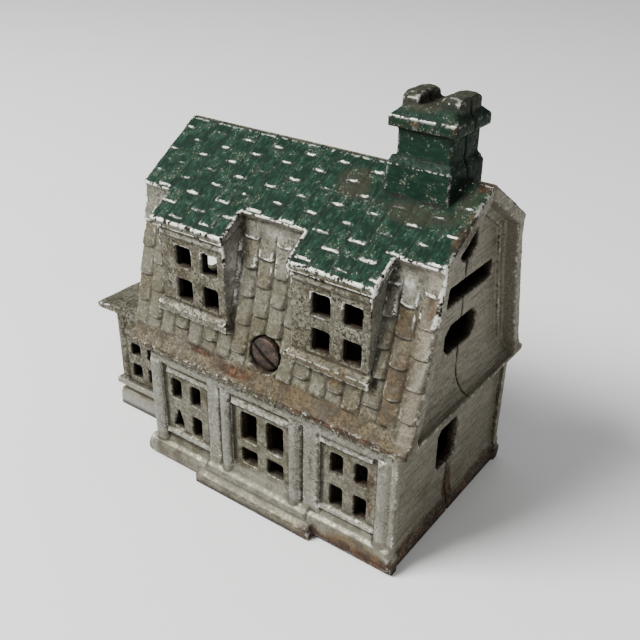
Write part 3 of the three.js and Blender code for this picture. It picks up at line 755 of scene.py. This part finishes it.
HEAD_HEIGHT, DOME = 2.3, 0.7  # the head's height, and its domed part's
SHANK_RADIUS, TIP_TAPER = 2.0, 0.6
THREAD_PITCH, THREAD_DEPTH, THREAD_LENGTH = 0.79, 0.22, 15.0
THREAD_STEP, SHANK_STEP = 0.09, 1.2  # from ring to ring on the thread and on the shank
DOME_RINGS, AROUND = 16, 72  # rings on the dome, points round each ring
SLOT_WIDTH, SLOT_DEPTH, SLOT_TURN = 0.95, 0.9, math.radians(35)
WORN_EDGE, SHARP_ANGLE = 0.1, math.radians(50)


def screw_profile(face, tip, head_radius):
    """Pairs of place along the axis and radius, from the middle of the head to the tip."""
    profile = []
    for i in range(DOME_RINGS + 1):
        turn = 0.5 * math.pi * i / DOME_RINGS
        profile.append((face + DOME * (1 - math.cos(turn)), head_radius * math.sin(turn)))
    seat = face + HEAD_HEIGHT
    profile += [(seat - 0.25, head_radius), (seat - 0.05, head_radius - 0.12), (seat, head_radius - 0.4)]
    profile += [(seat, SHANK_RADIUS + 0.25), (seat + 0.3, SHANK_RADIUS)]
    place = seat + 0.3
    while place < tip - TIP_TAPER:
        place += THREAD_STEP if place > tip - THREAD_LENGTH - 0.3 else SHANK_STEP
        profile.append((min(place, tip - TIP_TAPER), SHANK_RADIUS))
    return profile + [(tip - 0.3, SHANK_RADIUS - 0.35), (tip, SHANK_RADIUS - 0.75), (tip, 0.0)]


def screw_ring(work, y, radius, threaded):
    """The points of one ring, or the single point where the profile meets the axis."""
    if radius < 1e-6:
        return [work.verts.new((0.0, y, 0.0))]
    ring = []
    for i in range(AROUND):
        turn = 2 * math.pi * i / AROUND
        phase = (y / THREAD_PITCH - i / AROUND) % 1.0
        cut = radius - THREAD_DEPTH * abs(2 * phase - 1) if threaded else radius
        ring.append(work.verts.new((cut * math.cos(turn), y, cut * math.sin(turn))))
    return ring


def new_mesh(name, work):
    """A mesh from finished bmesh work."""
    mesh = bpy.data.meshes.new(name)
    work.to_mesh(mesh)
    work.free()
    return mesh


def turned_screw(face, tip, head_radius):
    """The profile turned round the y axis, with the thread cut near the tip."""
    work = bmesh.new()
    rings = []
    for y, radius in screw_profile(face, tip, head_radius):
        threaded = y > tip - THREAD_LENGTH and radius > SHANK_RADIUS - 0.4
        rings.append(screw_ring(work, y, radius, threaded))
    for a, b in zip(rings, rings[1:]):
        for i in range(AROUND):
            j = (i + 1) % AROUND
            corners = [a[i % len(a)], a[j % len(a)], b[j % len(b)], b[i % len(b)]]
            work.faces.new(list(dict.fromkeys(corners)))
    bmesh.ops.recalc_face_normals(work, faces=work.faces)
    return new_mesh("turned_screw", work)


def slot_cutter(face):
    """A block that takes the driver's slot out of the head."""
    length, thickness = 12.0, 2.0
    work = bmesh.new()
    bmesh.ops.create_cube(work, size=1.0)
    for v in work.verts:
        v.co = (v.co.x * length, (v.co.y - 0.5) * thickness + face + SLOT_DEPTH, v.co.z * SLOT_WIDTH)
    bmesh.ops.rotate(work, verts=work.verts, matrix=Euler((0, SLOT_TURN, 0)).to_matrix())
    return placed("slot_cutter", new_mesh("slot_cutter", work))


def make_screw(name):
    """The assembly screw: a domed slotted head, a plain shank and a cut thread at its end."""
    low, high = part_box("assembly_screw")
    axis_x, axis_z = 0.5 * (low.x + high.x) / MM, 0.5 * (low.z + high.z) / MM
    face, tip = low.y / MM, high.y / MM
    mesh = turned_screw(face, tip, 0.5 * (high.x - low.x) / MM)
    cutter = slot_cutter(face)
    mesh = modified(mesh, "BOOLEAN", operation="DIFFERENCE", solver="EXACT", object=cutter)
    bpy.data.objects.remove(cutter)
    mesh = modified(mesh, "BEVEL", width=WORN_EDGE, segments=2, limit_method="ANGLE", angle_limit=SHARP_ANGLE)
    for v in mesh.vertices:
        v.co = ((v.co.x + axis_x) * MM, v.co.y * MM, (v.co.z + axis_z) * MM)
    mesh.name = name
    return placed(name, mesh)


# ---- Materials ----

class Graph:
    """A material's node graph, with short calls for what its layers need."""

    def __init__(self, name):
        self.material = bpy.data.materials.new(name)
        self.material.use_nodes = True
        self.tree = self.material.node_tree
        self.shader = self.tree.nodes["Principled BSDF"]
        self.place = self.tree.nodes.new("ShaderNodeTexCoord").outputs["Object"]

    def node(self, kind, inputs, **settings):
        """A new node; an input is a value or another node's output."""
        made = self.tree.nodes.new(kind)
        for key, value in settings.items():
            setattr(made, key, value)
        for key, value in inputs.items():
            self.put(made.inputs[key], value)
        return made

    def put(self, socket, value):
        if isinstance(value, bpy.types.NodeSocket):
            self.tree.links.new(value, socket)
        elif isinstance(value, tuple) and len(value) == 3 and socket.type == "RGBA":
            socket.default_value = (*value, 1.0)
        else:
            socket.default_value = value

    def stretched(self, scale):
        """The place, scaled along each axis, so that noise read there is drawn out."""
        return self.node("ShaderNodeMapping", {"Vector": self.place, "Scale": scale}).outputs[0]

    def noise(self, size_mm, detail=4.0, rough=0.6, place=None, seed=0.0):
        made = self.node(
            "ShaderNodeTexNoise",
            {
                "Vector": place or self.place,
                "W": seed,
                "Scale": 1.0 / (size_mm * MM),
                "Detail": detail,
                "Roughness": rough,
            },
            noise_dimensions="4D",
        )
        return made.outputs[0]

    def field(self, name):
        """One of FIELDS, as make_casting stored it."""
        return self.node("ShaderNodeAttribute", {}, attribute_name=name).outputs["Fac"]

    def calc(self, operation, a, b):
        return self.node("ShaderNodeMath", {0: a, 1: b}, operation=operation).outputs[0]

    def add(self, a, b):
        return self.calc("ADD", a, b)

    def scaled(self, a, b):
        return self.calc("MULTIPLY", a, b)

    def rest(self, a):
        """What is left from a up to 1."""
        return self.calc("SUBTRACT", 1.0, a)

    def most(self, *values):
        """The highest of the values."""
        return reduce(lambda a, b: self.calc("MAXIMUM", a, b), values)

    def between(self, value, low, high, to_low=0.0, to_high=1.0):
        """A soft step from to_low, where value is low, to to_high, where it is high."""
        made = self.node(
            "ShaderNodeMapRange",
            {"Value": value, "From Min": low, "From Max": high, "To Min": to_low, "To Max": to_high},
            interpolation_type="SMOOTHSTEP",
        )
        return made.outputs[0]

    def mix(self, factor, a, b):
        """The colour that lies between a and b by factor."""
        return self.node("ShaderNodeMix", {0: factor, 6: a, 7: b}, data_type="RGBA").outputs[2]

    def blend(self, factor, a, b):
        """The number that lies between a and b by factor."""
        return self.node("ShaderNodeMix", {0: factor, 2: a, 3: b}, data_type="FLOAT").outputs[0]

    def bump(self, height, distance_mm, strength, normal=None):
        inputs = {"Height": height, "Distance": distance_mm * MM, "Strength": strength}
        if normal:
            inputs["Normal"] = normal
        return self.node("ShaderNodeBump", inputs).outputs[0]

    def finish(self, colour, metallic, roughness, normal):
        self.put(self.shader.inputs["Base Color"], colour)
        self.put(self.shader.inputs["Metallic"], metallic)
        self.put(self.shader.inputs["Roughness"], roughness)
        self.put(self.shader.inputs["Normal"], normal)
        return self.material


SILVER_LIGHT = (0.225, 0.222, 0.188)
SILVER_MIDDLE = (0.120, 0.114, 0.078)
SILVER_DARK = (0.056, 0.047, 0.029)
FILED_IRON_PAINTED_LIGHT = (0.24, 0.22, 0.17)
IRON = (0.010, 0.008, 0.006)
BRIGHT = (0.66, 0.65, 0.58)
GREEN_LIGHT = (0.0066, 0.031, 0.0168)
GREEN_DARK = (0.0022, 0.0125, 0.0065)
GREEN_RUBBED = (0.018, 0.040, 0.028)
OLIVE = (0.026, 0.024, 0.015)
RUST_LIGHT = (0.080, 0.037, 0.018)
RUST_DARK = (0.026, 0.0135, 0.009)
OCHRE = (0.082, 0.056, 0.026)
BROWN = (0.036, 0.025, 0.015)
STEEL_DARK = (0.011, 0.007, 0.005)
STEEL_BROWN = (0.042, 0.024, 0.015)
STEEL_WORN = (0.14, 0.115, 0.095)
PAPER_DARK = (0.73, 0.73, 0.72)
PAPER_LIGHT = (0.77, 0.77, 0.76)

# Noises that the layers of the painted iron share, from 14 mm across down to 0.38 mm.
Noises = namedtuple("Noises", "broad middle fine grain")


def brown_stains(g, n):
    """How brown the aluminium paint is: in the stained places, and on single shingles."""
    steep, stain = g.field("steep"), g.field("stain")
    browned = g.scaled(steep, g.between(g.add(g.field("tone"), n.middle), 0.9, 1.4))
    browned = g.scaled(browned, g.between(stain, 0.0, 0.7, 0.4, 0.85))
    stained = g.most(browned, g.scaled(stain, g.blend(steep, 0.85, 0.5)))
    return g.scaled(stained, g.between(g.add(n.middle, n.broad), 0.84, 1.02, 0.6, 1.0))


def smoothness(g, stained):
    """How free of pits the casting is."""
    shares = (("filed", 0.7), ("steep", 0.45), ("clean_and_painted_light", 0.4), ("even", 0.8))
    return g.most(g.scaled(stained, 0.6), *(g.scaled(g.field(name), share) for name, share in shares))


def crowded_pits(g, n, smoother):
    """Pits down to the dark iron, denser in some places than in others."""
    pitted = g.scaled(g.between(n.middle, 0.42, 0.56, 0.4, 1.0), g.rest(smoother))
    pits = g.most(g.between(n.fine, 0.53, 0.585), g.between(n.grain, 0.55, 0.61))
    return g.scaled(pits, pitted)


def aluminium_paint(g, n, stained, pits, file_marks):
    """Light on the mouldings, dull and brownish where it is worn thin, pitted, scored and paler at the ends;
    that paleness, and some of the mouldings', is painted light.
    """
    filed = g.field("filed")
    silver = g.mix(g.between(n.middle, 0.43, 0.57), SILVER_DARK, SILVER_MIDDLE)
    silver = g.mix(g.scaled(g.field("steep"), 0.5), silver, SILVER_MIDDLE)
    # Paler paint, partly painted light on the dormers' sides and as painted highlights.
    light = g.add(g.between(n.broad, 0.42, 0.54, 0.0, 0.2), g.scaled(g.field("clean_and_painted_light"), 0.55))
    silver = g.mix(light, silver, SILVER_LIGHT)
    # Paler iron on the ends and the right-hand rim: file-scored, and partly painted light.
    silver = g.mix(g.scaled(filed, 0.75), silver, FILED_IRON_PAINTED_LIGHT)
    silver = g.mix(stained, silver, g.mix(g.between(n.middle, 0.42, 0.58), BROWN, OCHRE))
    silver = g.mix(g.scaled(filed, g.between(file_marks, 0.47, 0.57, 0.0, 0.5)), silver, SILVER_DARK)
    silver = g.mix(g.scaled(pits, 0.92), silver, IRON)
    flecks = g.scaled(g.between(n.grain, 0.45, 0.39), g.between(n.fine, 0.50, 0.44))
    flecks = g.scaled(flecks, g.rest(g.most(stained, filed)))
    silver = g.mix(g.scaled(flecks, 0.12), silver, BRIGHT)
    # Bright spots: polished metal, and partly painted highlights, as on the dormers' side fillets.
    hammered = g.between(g.add(n.middle, n.fine), 0.93, 1.08, 0.1, 0.8)
    return g.mix(g.scaled(g.field("polished_and_highlight"), hammered), silver, BRIGHT)


def green_paint(g, n, seed):
    """Streaked down the slope, thin and olive in places, flecked with bare metal."""
    down_streaks = g.noise(0.5, detail=3.0, place=g.stretched((1.0, 0.3, 0.3)), seed=seed + 31.0)
    courses = g.noise(0.6, detail=3.0, place=g.stretched((0.2, 0.2, 1.0)), seed=seed + 37.0)
    streaks = g.blend(g.field("courses"), down_streaks, courses)
    paint = g.mix(g.between(g.add(n.middle, streaks), 0.90, 1.12), GREEN_DARK, GREEN_LIGHT)
    paint = g.mix(g.between(streaks, 0.54, 0.64, 0.0, 0.45), paint, GREEN_RUBBED)
    paint = g.mix(g.scaled(g.field("courses"), 0.65), paint, GREEN_DARK)
    thin = g.most(g.field("thin"), g.between(g.add(n.middle, n.fine), 1.06, 1.18, 0.0, 0.6))
    paint = g.mix(g.scaled(thin, 0.8), paint, OLIVE)
    scuffs = g.scaled(g.between(n.grain, 0.58, 0.63), g.between(n.middle, 0.50, 0.57))
    return g.mix(g.scaled(scuffs, 0.55), paint, SILVER_LIGHT)


def painted_iron(name, seed):
    """Worn aluminium and green paint over dark pitted iron, with rust, dirt, painted shade and painted light.
    """
    g = Graph(name)
    n = Noises(
        broad=g.noise(14.0, seed=seed),
        middle=g.noise(3.0, detail=5.0, seed=seed + 3.0),
        fine=g.noise(0.75, detail=3.0, rough=0.65, seed=seed + 7.0),
        grain=g.noise(0.38, detail=2.0, seed=seed + 11.0),
    )
    file_marks = g.noise(0.32, detail=3.0, place=g.stretched((1.0, 0.04, 1.0)), seed=seed + 23.0)
    stained = brown_stains(g, n)
    smoother = smoothness(g, stained)
    pits = crowded_pits(g, n, smoother)
    silver = aluminium_paint(g, n, stained, pits, file_marks)
    green_here = g.between(g.add(g.field("green"), g.scaled(n.fine, 0.5)), 0.62, 0.8)
    colour = g.mix(green_here, silver, green_paint(g, n, seed))

    # Dirt in the hollows, dark lines in the seam, painted shade in the shingles' undercuts and a painted
    # contact shadow at the foot; brown beside the edges; rust in patches.
    grime_and_shade = g.scaled(g.field("dirt"), g.between(n.middle, 0.40, 0.55, 0.5, 1.0))
    grime_and_shade = g.most(g.scaled(grime_and_shade, 0.8), g.scaled(g.field("gap"), 0.75))
    colour = g.mix(grime_and_shade, colour, IRON)
    halo = g.scaled(g.field("halo"), g.between(g.add(n.middle, n.fine), 0.92, 1.06))
    colour = g.mix(g.scaled(halo, 0.7), colour, BROWN)
    rust = g.scaled(g.field("rust"), g.between(g.add(n.grain, n.fine), 0.86, 1.02, 0.55, 0.95))
    colour = g.mix(rust, colour, g.mix(g.between(n.middle, 0.49, 0.64), RUST_DARK, RUST_LIGHT))

    # Rubbed edges: dark bare iron broken by bright chips; the shingles' lips are bright, worn paint with a
    # painted highlight, and the chimney's edge lines are painted highlights.
    lip, inside = g.field("lip"), g.field("inside")
    chips = g.add(g.noise(1.1, detail=4.0, seed=seed + 17.0), g.scaled(g.field("shine"), 0.15))
    bright = g.most(g.between(chips, 0.55, 0.61), lip)
    rubbed = g.most(g.field("wear_and_highlight_lines"), g.between(g.add(lip, n.grain), 0.86, 1.06))
    colour = g.mix(rubbed, colour, g.mix(bright, IRON, BRIGHT))
    # Bare dark iron inside, and painted shade on the openings' side reveals.
    colour = g.mix(inside, colour, g.mix(g.between(n.middle, 0.44, 0.60), IRON, RUST_DARK))

    # Gloss and small relief.
    dull = g.most(rust, inside, pits, grime_and_shade, g.scaled(stained, 0.9))
    bare = g.scaled(g.scaled(rubbed, bright), 0.6)
    metallic = g.most(g.blend(green_here, 0.46, 0.0), bare)
    metallic = g.scaled(metallic, g.rest(dull))
    roughness = g.add(g.blend(green_here, 0.46, 0.54), g.between(n.fine, 0.42, 0.58, 0.0, 0.12))
    roughness = g.add(roughness, g.add(g.scaled(dull, 0.25), g.scaled(g.field("even"), -0.14)))
    coarse = g.rest(g.scaled(smoother, 0.75))
    height = g.scaled(g.add(g.scaled(n.fine, 0.6), g.scaled(n.grain, 0.4)), coarse)
    height = g.add(height, g.scaled(g.scaled(file_marks, g.field("filed")), 0.6))
    normal = g.bump(height, 0.2, 0.45)
    normal = g.bump(g.scaled(pits, -1.0), 0.08, 0.5, normal)
    g.shader.inputs["Specular IOR Level"].default_value = 0.1
    return g.finish(colour, metallic, roughness, normal)


def screw_steel(name):
    """Dark, rust-browned steel with worn specks."""
    g = Graph(name)
    middle = g.noise(1.6, detail=5.0, seed=2.0)
    fine = g.noise(0.35, detail=3.0, rough=0.7, seed=5.0)
    colour = g.mix(g.between(middle, 0.43, 0.58), STEEL_DARK, STEEL_BROWN)
    colour = g.mix(g.scaled(g.between(fine, 0.56, 0.62), 0.5), colour, STEEL_WORN)
    roughness = g.between(fine, 0.3, 0.7, 0.42, 0.62)
    normal = g.bump(g.add(fine, middle), 0.12, 0.5)
    return g.finish(colour, 0.55, roughness, normal)


def pale_paper(name):
    """Pale matt paper with a faint mottle."""
    g = Graph(name)
    colour = g.mix(g.noise(60.0, detail=3.0), PAPER_DARK, PAPER_LIGHT)
    normal = g.bump(g.noise(1.0, detail=2.0), 0.05, 0.1)
    return g.finish(colour, 0.0, 0.6, normal)


# ---- Camera, light and floor, in metres ----

CAMERA_PLACE = (0.11295, -0.14265, 0.13739)
CAMERA_TURN = (60.8754, -0.7869, 36.1399)  # degrees
LENS, SENSOR = 46.49, 36.0  # millimetres
WINDOW_PLACE, WINDOW_SIZE, WINDOW_POWER = (-0.50, -0.68, 0.89), 0.6, 39.0
SKY, SKY_STRENGTH = (0.98, 0.99, 1.0), 0.55
FLOOR_REACH = 6.0


def add_camera():
    """The camera stands to the right of the front, a little above the roof."""
    data = bpy.data.cameras.new("camera")
    data.sensor_width = SENSOR
    data.lens = LENS
    data.clip_start = 0.01
    camera = placed("camera", data)
    camera.location = CAMERA_PLACE
    camera.rotation_euler = [math.radians(a) for a in CAMERA_TURN]
    bpy.context.scene.camera = camera


def add_studio():
    """Soft window light from the front left, weak light all round, and a wide floor."""
    data = bpy.data.lights.new("window", "AREA")
    data.size = WINDOW_SIZE
    data.energy = WINDOW_POWER
    light = placed("window", data)
    light.location = WINDOW_PLACE
    aim = Vector((0.0, 0.0, 0.04)) - Vector(WINDOW_PLACE)
    light.rotation_euler = aim.to_track_quat("-Z", "Y").to_euler()
    world = bpy.data.worlds.new("studio")
    world.use_nodes = True
    background = world.node_tree.nodes["Background"]
    background.inputs["Color"].default_value = (*SKY, 1.0)
    background.inputs["Strength"].default_value = SKY_STRENGTH
    bpy.context.scene.world = world
    mesh = bpy.data.meshes.new("floor")
    corners = [(x * FLOOR_REACH, y * FLOOR_REACH, 0) for x, y in ((-1, -1), (1, -1), (1, 1), (-1, 1))]
    mesh.from_pydata(corners, [], [(0, 1, 2, 3)])
    mesh.materials.append(pale_paper("pale_floor"))
    floor = placed("floor", mesh)


# ---- The object ----

def settle(piece, node, material):
    """Gives a piece its material; it stands for one CAD node and rides on the body of that name."""
    piece.data.shade_smooth()
    piece.data.materials.clear()
    piece.data.materials.append(material)
    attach(piece, node)
    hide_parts(node)


add_camera()
add_studio()
front = make_casting("front_casting", -1, "front_shell")
settle(front, "front_casting", painted_iron("front_iron", 0.0))
back = make_casting("back_casting", 1, "back_shell")
settle(back, "back_casting", painted_iron("back_iron", 40.0))
screw = make_screw("slotted_screw")
settle(screw, "assembly_screw", screw_steel("screw_steel"))
